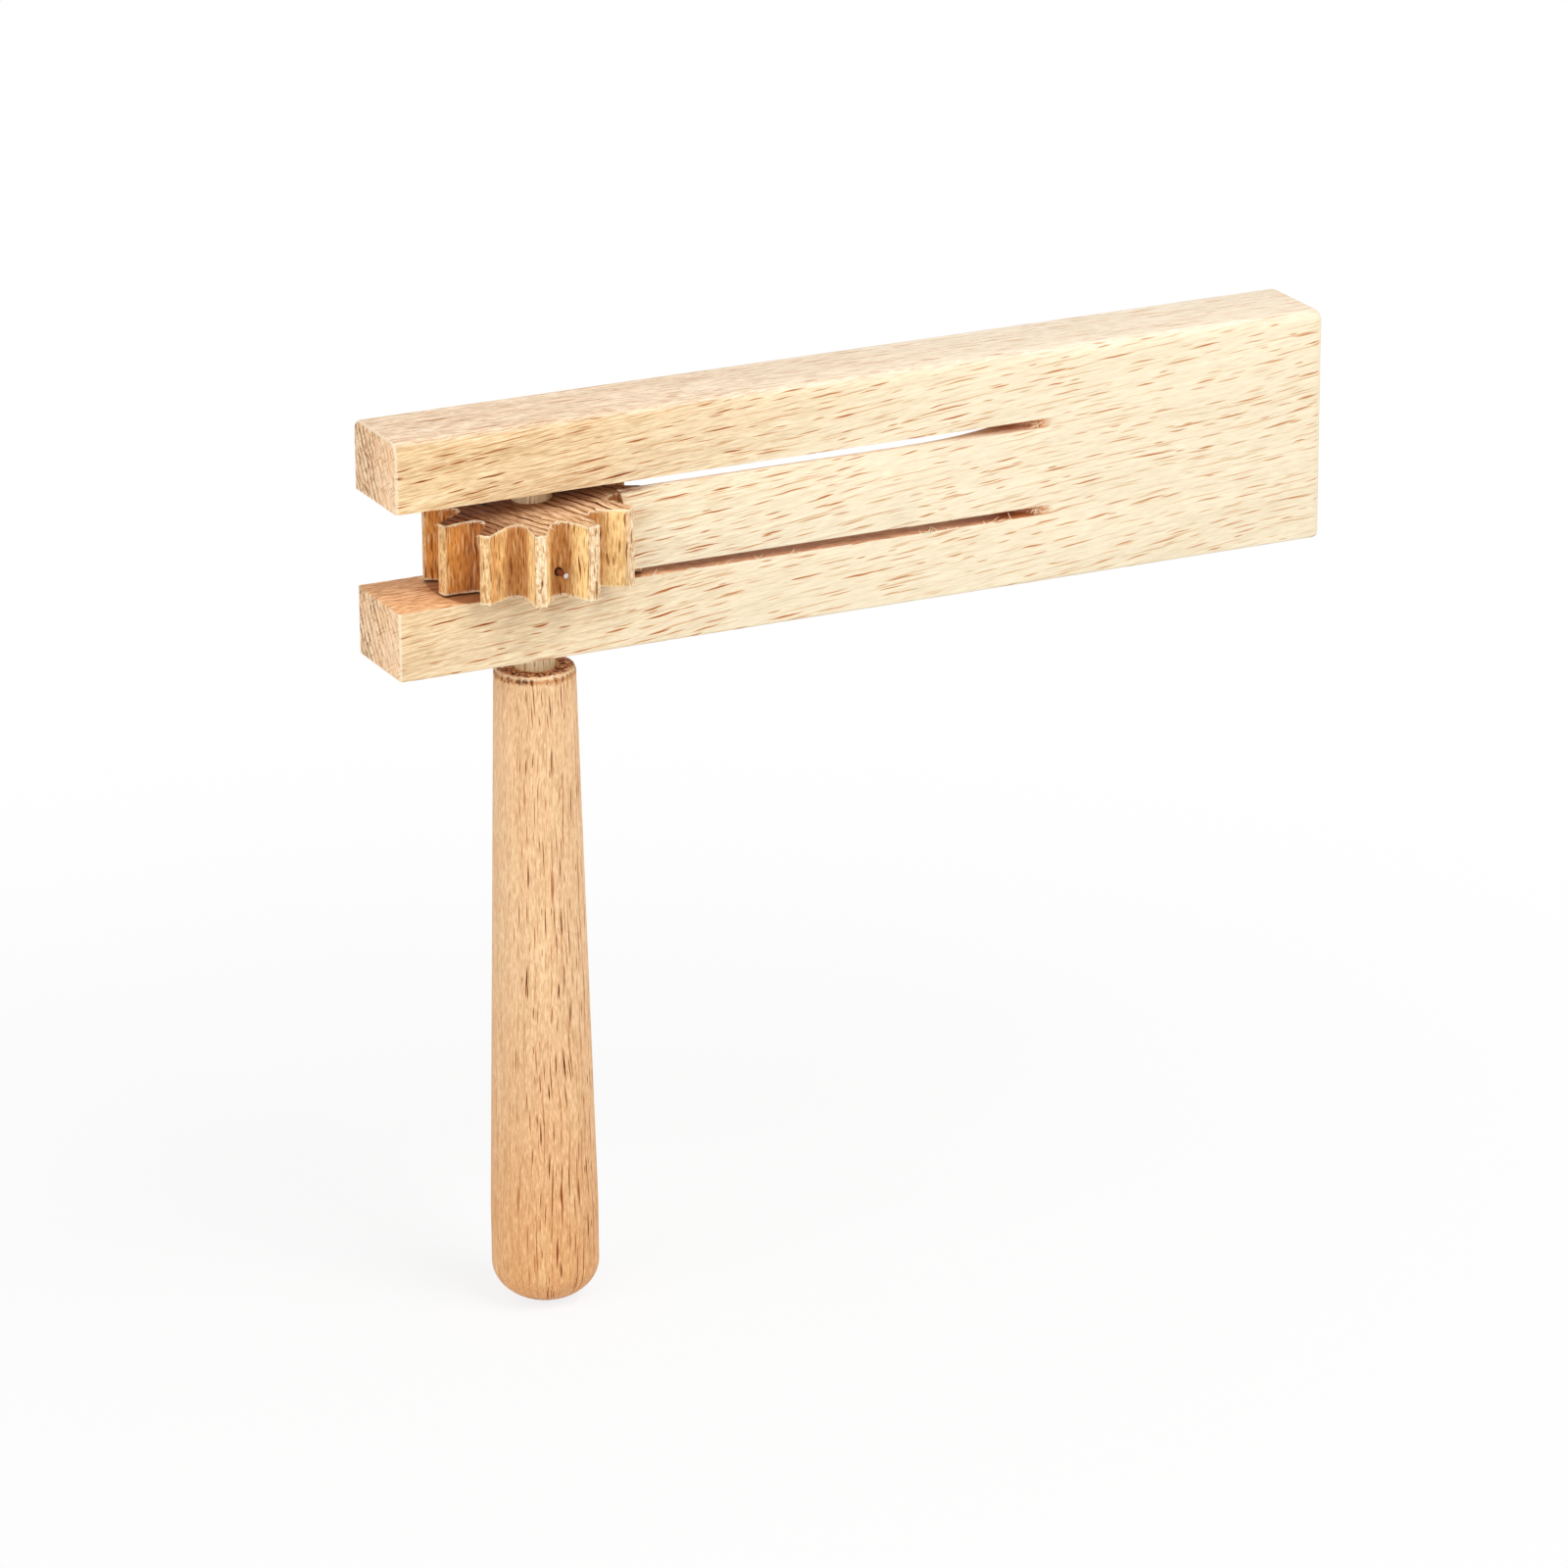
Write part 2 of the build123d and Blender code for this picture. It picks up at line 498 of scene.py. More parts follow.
class Grain:
    """Places in the wood in millimetres, X along the fibres, and the direction of each surface to them.

    The fibres sway from side to side, ripple, and climb towards +X.
    """

    def __init__(self, board, turn, sway, ripple, climb=0.0, bends=False):
        if bends:
            at = board.node("Attribute", attribute_name=REST_PLACE).outputs["Vector"]
            facing = board.node("Attribute", attribute_name=REST_NORMAL).outputs["Vector"]
        else:
            seen = board.node("TexCoord").outputs
            at = seen["Object"]
            facing = seen["Normal"]
        self.board = board
        self.at = board.millimetres(at)
        self.level = board.node("Mapping", {"Vector": self.at, "Rotation": turn}).outputs[0]
        facing = board.node("Mapping", {"Vector": facing, "Rotation": turn}, vector_type="VECTOR")
        place = self.level
        for stretch, swing in (((50, 20, 20), sway), ((3.3, 1.4, 1.4), ripple)):
            drift = board.noise(self.level, stretch, 1.0, "Color")
            drift = board.vector("SUBTRACT", drift, (0.5, 0.5, 0.5))
            place = board.vector("ADD", place, board.vector("MULTIPLY", drift, (0, swing, swing)))
        self.run, self.across, self.rise = board.split(place)
        if climb:
            self.rise -= self.run * climb
            place = board.join(self.run, self.across, self.rise)
        self.place = place
        self.straight = board.split(self.level)
        self.facing = board.split(facing.outputs[0])

    def noise(self, run, across, detail=1.0):
        """Noise in cells of the given length along the fibres and width across them, in millimetres."""
        return self.board.noise(self.place, (run, across, across), detail)

    def rings(self, lean, pitch, wobble=1.5):
        """Growth rings cut across: thin dark lines, some stronger, and fine streaks beside them.

        lean is the direction out through the rings.
        """
        board = self.board
        out = self.across * lean[0] + self.rise * lean[1]
        round_them = self.rise * lean[0] - self.across * lean[1]
        out += self.noise(40, 6, 2.0) * wobble
        turns = out * (1 / pitch)
        chance = board.chance(board.math("FLOOR", turns), 0.5, 0.5)[0]
        place = board.join(self.run, out, round_them)
        line = board.math("FRACT", turns).band(0.45, 0.78, 0.9, 1.0) * chance.spread(0.4, 1.0)
        line *= board.noise(place, (20, 0.6, 3.0)).ramp(0.3, 0.6, 0.35, 1.0)
        streak = board.noise(place, (30, 0.25, 2.2), 1.0)
        return SimpleNamespace(out=out, round_them=round_them, line=line, streak=streak)

    def pores(self, spacing, low=0.42, high=0.18):
        """Small dots where the vessels are cut across."""
        stretched = self.board.vector("MULTIPLY", self.place, (0.2 / spacing, 1 / spacing, 1 / spacing))
        cells = self.board.node("TexVoronoi", {"Vector": stretched, "Scale": 1.0}).outputs
        return Amount(self.board, cells["Distance"]).ramp(low, high)


def flecks(run, row, length, width, share=(0.15, 0.45), thick=(0.12, 0.26), faint=0.25, face=0.0):
    """Ray flecks: pointed dashes in rows along the fibres, each row slid by its own amount.

    Each fleck has a cell of the given length and width, in millimetres, and its half takes a share of both.
    """
    board = run.board
    rows = row * (1 / width)
    line = board.math("FLOOR", rows)
    slide = board.chance(line, face, 0.5)[0]
    cells = run * (1 / length) + slide * 50.0
    cell = board.math("FLOOR", cells)
    first, second, third, fourth = board.chance(cell, line, face)
    half = first.spread(*share)
    spare = 1.0 - half * 2.0
    centre = cell + (half + second * spare)
    reach = (cells - centre) / half
    body = (1.0 - reach * reach) * third.spread(*thick)
    off = abs(rows - line - fourth.spread(0.3, 0.7))
    return (body - off).ramp(-0.03, 0.06) * third.spread(faint, 1.0)


def block_beech(name, bends=False):
    """Sanded beech: warm and boldly flecked at the arms, creamy at the tail, partly as painted light, and
    browned where it was sawn, partly as painted shade.
    """
    board = new_board(name)
    grain = Grain(board, ALONG_BLOCK, sway=3.0, ripple=0.35, climb=0.09, bends=bends)
    x, y, z = grain.straight
    floor, roof = SLOT_FLOOR / MM, SLOT_ROOF / MM
    half_way = (floor + roof) / 2
    slant = x - (z - half_way) * 1.1
    # The paler tail is partly painted light, brighter towards the tail.
    tail = slant.ramp(-90 if bends else -36, 62)
    flat = abs(grain.facing[2]).ramp(0.5, 0.92)
    ends = abs(grain.facing[0]).ramp(0.78, 0.95)

    # Long grain: the front and back, and the duller top and underside, warm at the arms and cream at the
    # tail, partly the wood's own tone and partly painted light, brighter towards the tail
    front = board.mix(tail, (0.815, 0.575, 0.32), (0.905, 0.785, 0.57))
    top = board.mix(tail, (0.94, 0.72, 0.515), (0.965, 0.82, 0.635))
    tint = board.mix(flat, front, top)
    band = grain.noise(90, 4.0)
    fibre = grain.noise(3.0, 0.22, 2.0)
    thread = grain.noise(16.0, 0.5)
    coarse = slant.ramp(-36, 62, 1.35, 0.45) + flat * 0.35
    level = 1.0 + fibre.ramp(0.25, 0.75, -0.15, 0.14) * coarse
    level += thread.ramp(0.25, 0.75, -0.06, 0.05) * coarse
    level += band.ramp(0.3, 0.7, 0.03, -0.04) * coarse
    tint = board.warm(tint, level, 1.35, 1.75)
    cream = fibre.ramp(0.55, 0.75, 0.0, 0.35) * coarse
    tint = board.mix(cream, tint, (0.95, 0.80, 0.56))

    lying = abs(grain.facing[2]) > 0.7
    row = lying.blend(grain.rise, grain.across)
    face = lying.blend(y > 0.0, 2.0)
    bold = flecks(grain.run, row, 10.0, 1.7, (0.15, 0.34), (0.04, 0.085), 0.15, face)
    middling = flecks(grain.run, row, 6.0, 1.0, (0.15, 0.4), (0.045, 0.105), 0.05, face + 10.0)
    hairs = flecks(grain.run, row, 16.0, 1.2, (0.2, 0.48), (0.05, 0.09), 0.1, face + 20.0)
    depth = slant.ramp(-42, 26, 0.82, 0.52) * slant.ramp(20, 85, 1.0, 0.78)
    depth *= flat.spread(1.0, 0.6)
    dashes = (1.0 - middling * (depth * 0.8)).fade(bold, depth)
    dashes = dashes.fade(hairs, depth * flat.spread(0.45, 0.8))
    redder = slant.ramp(-36, 62)
    tint = board.warm(tint, dashes, redder.spread(2.0, 2.5), redder.spread(3.0, 3.7))

    # End grain at the ends of the arms and the tail
    rings = grain.rings((0.86, -0.51), 1.3, 1.6)
    to_back = y.ramp(-6.5, 5.0)
    line = rings.line * to_back.spread(0.2, 0.9)
    notches = flecks(rings.round_them, rings.out, 1.7, 0.5, (0.18, 0.42), (0.16, 0.3), 0.1)
    notches *= to_back.spread(0.35, 1.0)
    rays = flecks(rings.out, rings.round_them, 5.0, 0.7, (0.25, 0.48), (0.08, 0.14), 0.3)
    end_level = rings.streak.ramp(0.28, 0.72, 0.84, 1.14)
    end_level = end_level.fade(notches, 0.8).fade(line, 0.75).fade(rays, 0.3)
    end_tint = board.mix(band.ramp(0.4, 0.65), (1.0, 0.72, 0.465), (0.97, 0.65, 0.395))
    tint = board.mix(ends, tint, board.warm(end_tint, end_level, 1.35, 1.8))

    # Edges of the ends: a painted highlight, paler along the rounded edges beside the ends
    half_length = (block_high.x - block_low.x) / 2 / MM
    from_end = half_length - abs(x - (block_low.x / MM + half_length))
    tilt = abs(grain.facing[0])
    edge_highlight = tilt.band(0.2, 0.5, 0.85, 0.97) * from_end.ramp(1.2, 0.8)
    tint = board.mix(edge_highlight * 0.6, tint, (0.98, 0.84, 0.62))

    # The sawn floor of the slot and of the lower kerf, browned partly as sawn wood and partly as painted
    # shade under the upper arm and the tongue; painted shadow where the wheel hangs over the floor; and the
    # scorched ends of the kerfs
    on_floor = z.band(floor - 0.3, floor - 0.1, floor + 1, floor + 2)
    in_hollow = x.ramp(14, 24) * y.ramp(-3.5, 2.0)
    sawn = (flat * on_floor).fade(in_hollow, 0.5)
    # Browner floor: partly sawn wood, partly painted shade under the upper arm, and darker on the lower
    # kerf's floor as painted shade under the tongue.
    browned_and_shaded = board.mix(x.ramp(14, 24), (1.02, 0.76, 0.53), (0.74, 0.47, 0.33))
    smoke = grain.noise(2.5, 0.35, 2.0)
    # Painted shadow under the wheel's rim, where it hangs just over the floor.
    wheel_shadow = board.radius(x, y).ramp(15.9, 15.4) * smoke.ramp(0.3, 0.6, 0.7, 1.0)
    browned_and_shaded = board.mix(wheel_shadow, browned_and_shaded, (0.50, 0.30, 0.17))
    browned_and_shaded = board.warm(browned_and_shaded, smoke.ramp(0.3, 0.7, 0.74, 1.14))
    tint = board.mix(sawn, tint, board.mix(1.0, tint, browned_and_shaded, "MULTIPLY"))
    kerf_line = (roof - floor - KERF_WIDTH / MM) / 2
    off_kerf = abs(abs(z - half_way) - kerf_line)
    reach = x + smoke * 4.0
    burnt = reach.band(64, 80, 81.2, 83.0) * off_kerf.ramp(0.8, 0.6)
    burnt *= smoke.ramp(0.35, 0.6, 0.4, 0.9)
    tint = board.mix(burnt, tint, (0.60, 0.20, 0.05))
    if bends:
        # The tongue's tip: scorched along its top edge, and its end face above the wheel darkened partly by
        # scorch and partly as painted shade.
        leaf_top = roof - KERF_WIDTH / MM
        tip_top = x.ramp(18, 12) * z.ramp(leaf_top - 0.7, leaf_top - 0.1)
        tip_end = grain.facing[0].ramp(-0.3, -0.7) * z.ramp(leaf_top - 3.5, leaf_top - 1.5)
        scorch_and_shade = board.larger(tip_top, tip_end) * smoke.ramp(0.35, 0.55, 0.4, 0.95)
        tint = board.mix(scorch_and_shade, tint, (0.20, 0.065, 0.02))

    relief = fibre * 0.7 - (bold + middling) * 0.5
    relief -= ends * (notches * 0.6 + line * 0.4)
    return board.wood(tint, fibre.ramp(0.3, 0.7, 0.52, 0.7), relief, 0.06 * MM)


def wheel_beech():
    """Milled beech, fibres upright: golden flanks, paler tips, striped end grain and furry edges."""
    board = new_board("wheel_beech")
    grain = Grain(board, ALONG_AXLE, sway=2.0, ripple=0.4)
    z, y, left = grain.straight
    radius = board.radius(y, left)
    ends = abs(grain.facing[0]).ramp(0.6, 0.9)

    # Distance along the teeth's outline, from the middle of each valley to the tip on each side
    root = ROOT_RADIUS / MM
    turn = board.math("ARCTAN2", y, -left)
    turns = (turn - TONGUE_VALLEY) * (1 / TOOTH_PITCH)
    tooth = board.math("FLOOR", turns + 0.5)
    swing = (turns - tooth) * (TOOTH_PITCH * root)
    row = radius - root + abs(swing)
    row += grain.noise(4.0, 1.5)
    face = tooth * 2.0 + (swing > 0.0)

    # Flanks and valleys: painted shade, deeper orange towards the left and the back and darker in the
    # valleys; the right-hand teeth a deeper orange too; and the paler tips
    shaded_side = board.larger(left.ramp(6, 13), y.ramp(2, 8))
    # Painted shade: darker towards the floors of the valleys.
    valley = radius.ramp(13.3, 11.3)
    flank = board.mix(shaded_side, (1.0, 0.68, 0.30), (0.68, 0.28, 0.062))
    flank = board.mix(left.ramp(-8, -11.5), flank, (0.76, 0.4, 0.15))
    tint = board.mix(valley, flank, board.mix(shaded_side, (0.55, 0.24, 0.068), (0.40, 0.13, 0.026)))
    on_tip = radius.ramp(15.1, 15.6)
    tint = board.mix(on_tip, tint, board.mix(shaded_side, (0.885, 0.655, 0.405), (0.84, 0.53, 0.245)))
    fibre = grain.noise(2.4, 0.2)
    nap = grain.noise(1.5, 0.4, 2.0)
    level = 1.0 + fibre.ramp(0.25, 0.75, -0.16, 0.16)
    level += nap.ramp(0.3, 0.7, -0.15, 0.15)
    tint = board.warm(tint, level, 1.45, 1.9)
    speckle = grain.noise(0.8, 0.4).ramp(0.5, 0.62)
    tint = board.mix(on_tip * speckle * 0.6, tint, (0.6, 0.31, 0.11))
    pale = flecks(grain.run, row, 5.0, 0.8, (0.2, 0.48), (0.09, 0.2), 0.2, face + 300.0)
    tint = board.mix(pale * 0.5, tint, (0.99, 0.8, 0.48))
    bold = flecks(grain.run, row, 5.2, 1.1, (0.16, 0.38), (0.07, 0.15), 0.1, face)
    fine = flecks(grain.run, row, 2.6, 0.6, (0.16, 0.45), (0.09, 0.18), 0.05, face + 100.0)
    dashes = (1.0 - fine * 0.5).fade(bold, 0.65)
    tint = board.warm(tint, dashes, 1.5, 2.1)

    # Furry edges: pale torn fibres along the end faces
    fur = grain.noise(0.9, 0.3, 2.0)
    rise = y * WHEEL_TOP_RISE_Y - left * WHEEL_TOP_RISE_X
    top = rise + (wheel_high.z + WHEEL_TOP_LIFT) / MM
    to_edge = board.math("MINIMUM", z - wheel_low.z / MM, top - z)
    edge = (to_edge + fur).ramp(1.1, 0.55) * fur.ramp(0.36, 0.56)
    crisp = (to_edge + nap).ramp(0.95, 0.6) * nap.ramp(0.6, 0.4, 0.25, 1.0)
    edge = board.larger(edge, crisp)
    tint = board.mix(edge * 0.8, tint, (0.99, 0.86, 0.63))

    # End grain, with painted shade: darker towards the left and towards the back, under the upper arm
    rings = grain.rings((0.374, -0.927), 1.4, 1.2)
    dots = grain.pores(0.34)
    hatch = flecks(rings.round_them, rings.out, 4.0, 0.5, (0.2, 0.48), (0.12, 0.26), 0.1)
    end_level = rings.streak.ramp(0.28, 0.72, 0.66, 1.12)
    end_level = end_level.fade(dots, 0.2).fade(hatch, 0.45).fade(rings.line, 0.95)
    painted_shade = board.larger(left.ramp(2, 12), y.ramp(-10, 0.5))
    end_tint = board.mix(painted_shade, (0.95, 0.65, 0.39), (0.37, 0.165, 0.07))
    tint = board.mix(ends, tint, board.warm(end_tint, end_level, 1.45, 1.9))

    # Painted shade in and round the hole that the pin was driven into
    seat = tuple(pin_line()[0] / MM)
    from_seat = board.measure("DISTANCE", grain.at, seat)
    tint = board.mix(from_seat.ramp(0.8, 0.55), tint, (0.05, 0.015, 0.005))

    relief = fibre - (bold * 0.6 + ends * (rings.line * 0.6))
    return board.wood(tint, fibre.ramp(0.3, 0.7, 0.6, 0.78), relief, 0.1 * MM)


def handle_beech():
    """Turned beech: long upright flecks on two sides, yellow patches, a browner butt and a torn top rim."""
    board = new_board("handle_beech")
    grain = Grain(board, ALONG_AXLE, sway=3.0, ripple=0.45)
    z, y, left = grain.straight
    low = z.ramp(10, -50)
    flat_sawn = abs(grain.facing[1]).ramp(0.38, 0.85)

    tint = board.mix(low, (0.825, 0.53, 0.295), (0.745, 0.39, 0.165))
    patch = grain.noise(12, 2.4)
    tint = board.mix(patch.ramp(0.5, 0.75, 0.0, 0.2), tint, (0.95, 0.7, 0.39))
    blush = grain.noise(60, 4.0)
    tint = board.mix(blush.ramp(0.5, 0.75, 0.0, 0.35), tint, (0.83, 0.48, 0.235))
    spots = grain.noise(2.4, 1.5).ramp(0.64, 0.74, 0.0, 0.45)
    spots *= 1.0 - flat_sawn
    tint = board.mix(spots, tint, (0.86, 0.46, 0.19))
    fibre = grain.noise(1.5, 0.18, 2.0)
    thread = grain.noise(14.0, 0.5)
    level = 1.0 + fibre.ramp(0.25, 0.75, -0.19, 0.17)
    level += thread.ramp(0.25, 0.75, -0.05, 0.05)
    tint = board.warm(tint, level, 1.4, 1.8)
    tint = board.mix(fibre.ramp(0.55, 0.75, 0.0, 0.35), tint, (0.95, 0.73, 0.47))

    # Rows of flecks round the handle, with the seam at the back
    mean_radius = 7.0
    round_it = board.math("ARCTAN2", left, -y) * mean_radius
    drift = board.noise(grain.level, (30, 8, 8), 1.0) - 0.5
    row = round_it + drift * 3.0
    bold = flecks(z, row, 9.5, 1.4, (0.13, 0.32), (0.04, 0.08), 0.15)
    middling = flecks(z, row, 5.6, 0.9, (0.14, 0.40), (0.045, 0.09), 0.05, face=10.0)
    hairs = flecks(z, row, 18.0, 1.1, (0.2, 0.48), (0.05, 0.09), 0.1, face=20.0)
    depth = flat_sawn.spread(0.22, 1.0)
    dashes = (1.0 - middling * (depth * 0.8)).fade(bold, depth)
    dashes = dashes.fade(hairs, depth * 0.6)
    tint = board.warm(tint, dashes, 1.8, 2.7)

    # Both ends: brown pitted end grain, the top end darker partly as painted shade under the head, with a
    # pale shoulder and a ring of dark pits under the rim
    ragged = grain.noise(0.9, 0.5, 2.0)
    pits = grain.pores(0.65, 0.55, 0.35) * ragged.ramp(0.3, 0.45)
    top = handle_high.z / MM
    near_rim = z + (ragged - 0.5) * 1.2
    under_rim = near_rim.band(top - 1.5, top - 0.9, top - 0.6, top - 0.2)
    shoulder = near_rim.band(top - 0.8, top - 0.45, top - 0.05, top + 0.2)
    tint = board.mix(under_rim * 0.85, tint, (0.6, 0.25, 0.08))
    tint = board.mix(shoulder * ragged.ramp(0.35, 0.6, 0.85, 0.3), tint, (0.99, 0.8, 0.54))
    tint = board.mix(under_rim * (pits * 0.9), tint, (0.1, 0.025, 0.008))
    rings = grain.rings((0.8, 0.6), 1.6)
    end_level = ragged.ramp(0.3, 0.7, 0.5, 1.4).fade(pits, 0.85).fade(rings.line, 0.5)
    # Painted shade, in part: the top end, under the head, is browner than the butt.
    end_tint = board.mix(z.ramp(-1, 1), (0.8, 0.48, 0.25), (0.66, 0.33, 0.16))
    ends = abs(grain.facing[0]).ramp(0.72, 0.97)
    tint = board.mix(ends, tint, board.warm(end_tint, end_level))

    relief = fibre * 0.7 - (bold + middling) * 0.5
    relief -= (under_rim + ends) * (ragged + pits)
    return board.wood(tint, fibre.ramp(0.3, 0.7, 0.5, 0.68), relief, 0.07 * MM)


def dowel_beech():
    """A pale planed dowel."""
    board = new_board("dowel_beech")
    grain = Grain(board, ALONG_AXLE, sway=1.5, ripple=0.3)
    fibre = grain.noise(5.0, 0.25, 2.0)
    level = fibre.ramp(0.3, 0.7, 0.84, 1.1)
    level = level.fade(flecks(grain.run, grain.rise, 3.0, 0.5), 0.35)
    tint = board.warm((0.99, 0.83, 0.56), level)
    ends = abs(grain.facing[0]).ramp(0.7, 0.95)
    rings = grain.rings((0.6, 0.8), 1.3)
    end_tint = board.warm((0.78, 0.54, 0.33), level.fade(rings.line, 0.5))
    tint = board.mix(ends, tint, end_tint)
    return board.wood(tint, fibre.ramp(0.3, 0.7, 0.5, 0.65), fibre, 0.05 * MM)


def frayed_fibre():
    """Pale torn fibres, yellower at some roots."""
    board = new_board("frayed_fibre")
    place = board.millimetres(board.node("TexCoord").outputs["Object"])
    tone = board.noise(place, (0.8, 0.8, 0.8))
    tint = board.mix(tone.ramp(0.35, 0.65), (0.97, 0.88, 0.7), (0.88, 0.66, 0.38))
    return board.wood(tint, 0.8, tone, 0.02 * MM)


def brad_steel(direction):
    """Wire with a brown rusty shank and a bright cut end."""
    board = new_board("brad_steel")
    seen = board.node("TexCoord").outputs
    place = board.millimetres(seen["Object"])
    rust = board.noise(place, (0.35, 0.35, 0.35), 4.0)
    tint = board.mix(rust.ramp(0.35, 0.65), (0.2, 0.06, 0.025), (0.42, 0.2, 0.11))
    snipped = board.measure("DOT_PRODUCT", seen["Normal"], direction).ramp(0.45, 0.7)
    tint = board.mix(snipped, tint, (0.66, 0.62, 0.60))
    roughness = rust.ramp(0.35, 0.65, 0.35, 0.6)
    inputs = {"Base Color": tint, "Metallic": 0.85, "Roughness": roughness}
    return board.surface(board.node("BsdfPrincipled", inputs))


# Head block and tongue

def on_sawn_line(point, reach):
    """True near the front or back edge of a sawn face, away from the tongue's root."""
    by_face = min(abs(point.y - block_low.y), abs(point.y - block_high.y)) < reach
    by_line = min(abs(point.z - line) for line in SAWN_LINES) < reach
    return by_face and by_line and abs(point.x - tongue_high.x) > ROOT_MARGIN


def sharp_off_root(edge):
    """True for a sharp edge, but not for those round the tongue's root."""
    return is_sharp(edge) and not all(near(v.co.x, tongue_high.x) for v in edge.verts)


def make_head_block():
    """The block: rounded, slotted, hollowed, sawn and bored, with its sawn edges torn a little."""
    block = add_box("head_block_wood", block_low, block_high)

    def rounded(edge):
        at = middle(edge)
        long_top = along(edge, "X") and near(at.z, block_high.z)
        tail = near(at.x, block_high.x) and not near(at.z, block_low.z)
        return long_top or tail
    soften(block, rounded, TOP_EDGE_ROUND, 6, clamp=False)

    def eased(edge):
        underside = all(near(v.co.z, block_low.z) for v in edge.verts)
        fork_end = all(near(v.co.x, block_low.x) for v in edge.verts)
        return underside or fork_end
    soften(block, eased, EDGE_ROUND, 3, clamp=False)

    beyond = 10 * MM
    root = tongue_high.x
    slot = add_box(
        "slot", Vector((block_low.x - beyond, block_low.y - beyond, SLOT_FLOOR)),
        Vector((root, block_high.y + beyond, SLOT_ROOF)),
    )
    hollow_centre = Vector((root, tongue_high.y + HOLLOW_RUNOUT_RADIUS, 0))
    hollow = add_upright("hollow", HOLLOW_RUNOUT_RADIUS, hollow_centre, SLOT_FLOOR, SLOT_ROOF, 180)
    saws = [
        add_upright("saw", SAW_RADIUS, SAW_CENTRE, bottom, bottom + KERF_WIDTH, 240)
        for bottom in (SLOT_FLOOR, tongue_high.z)
    ]
    bore = add_upright("bore", BORE_RADIUS, Vector(), block_low.z - beyond, block_high.z - BORE_COVER)
    cut(block, slot, hollow, *saws, bore)
    tidy(block)
    divide_sawn_edges(block)
    soften(block, sharp_off_root, SAWN_EDGE_ROUND)
    tidy(block)
    tear_sawn_edges(block)
    smooth(block)
    return block


def divide_sawn_edges(block):
    """Cuts the long edges of the slot and the kerfs into short steps, one edge after the other."""
    def long_sawn(edge):
        ends_on_line = all(on_sawn_line(v.co, TOUCH) or near(v.co.x, tongue_high.x) for v in edge.verts)
        return along(edge, "X") and is_sharp(edge) and ends_on_line and on_sawn_line(middle(edge), TOUCH)
    with edit_mode(block) as mesh:
        places = [(middle(edge), edge.calc_length()) for edge in mesh.edges if long_sawn(edge)]
    for place, length in places:
        cuts = max(1, int(length / SAWN_EDGE_STEP))
        divide(block, lambda edge: (middle(edge) - place).length < FLUSH, cuts)


def tear_sawn_edges(block):
    """Ruffles the sawn edges within the faces that they bound, with a deeper chip here and there."""
    dice = random.Random(7)
    for seed, face in enumerate((block_low.y, block_high.y), 70):
        def on_face(vertex):
            return near(vertex.co.y, face, FLUSH) and on_sawn_line(vertex.co, TORN_REACH)

        def chipped(vertex):
            return on_face(vertex) and dice.random() > UNCHIPPED_SHARE
        ruffle(block, on_face, TEAR, seed, "Y", face)
        ruffle(block, chipped, CHIP, seed, "Y", face)
    for seed, line in enumerate(SAWN_LINES, 80):
        def on_floor(vertex):
            return near(vertex.co.z, line, FLUSH) and on_sawn_line(vertex.co, TORN_REACH)
        ruffle(block, on_floor, TEAR, seed, "Z", line)


def make_tongue():
    """A thin leaf, finely divided along its length so that it can bend, with a torn, slanting tip."""
    leaf = add_box("tongue_wood", tongue_low, tongue_high)
    divide(leaf, lambda edge: along(edge, "X"), LEAF_STEPS)
    divide(leaf, lambda edge: along(edge, "Z") and near(middle(edge).x, tongue_low.x), TIP_STEPS)
    soften(leaf, sharp_off_root, LEAF_EDGE_ROUND)
    tidy(leaf)
    tear_tongue(leaf)
    smooth(leaf)
    return leaf


def tear_tongue(leaf):
    """The tip leans forward at the top, and its end and its sawn edges are a little torn."""
    for seed, face in enumerate((tongue_low.y, tongue_high.y), 110):
        def on_face(vertex):
            at = vertex.co
            on_edge = min(abs(at.z - tongue_high.z), abs(at.z - tongue_low.z)) < LEAF_EDGE_REACH
            on_tip = at.x < tongue_low.x + TIP_REACH
            return near(at.y, face, FLUSH) and (on_edge or on_tip) and at.x < tongue_high.x - ROOT_MARGIN
        ruffle(leaf, on_face, TEAR, seed, "Y", face)
    above_wheel = wheel_high.z + 0.3 * MM
    for step in range(TIP_LEAN_STEPS):
        height = above_wheel + (tongue_high.z - wheel_high.z) * step / TIP_LEAN_STEPS

        def over_wheel(vertex):
            return vertex.co.x < tongue_low.x + TIP_LEAN_REACH and vertex.co.z > height
        shift(leaf, over_wheel, (-TIP_LEAN_STEP, 0, 0))


# Wheel and pin

def tooth_radius(angle):
    """The wheel's radius by the angle from a valley: a round floor, straight flanks and a flat tip."""
    side = abs(angle)
    if side >= HALF_MOUTH:
        return WHEEL_RADIUS
    floor_centre = ROOT_RADIUS + VALLEY_ROUND
    corner = Vector((WHEEL_RADIUS * math.cos(HALF_MOUTH), WHEEL_RADIUS * math.sin(HALF_MOUTH)))
    toward = corner - Vector((floor_centre, 0))
    tangent = math.atan2(toward.y, toward.x) + math.acos(VALLEY_ROUND / toward.length)
    foot = Vector((floor_centre + VALLEY_ROUND * math.cos(tangent), VALLEY_ROUND * math.sin(tangent)))
    if side > math.atan2(foot.y, foot.x):
        run = corner - foot
        return (foot.x * run.y - foot.y * run.x) / (math.cos(side) * run.y - math.sin(side) * run.x)
    inner = floor_centre * math.cos(side)
    return inner - math.sqrt(VALLEY_ROUND ** 2 - (floor_centre * math.sin(side)) ** 2)


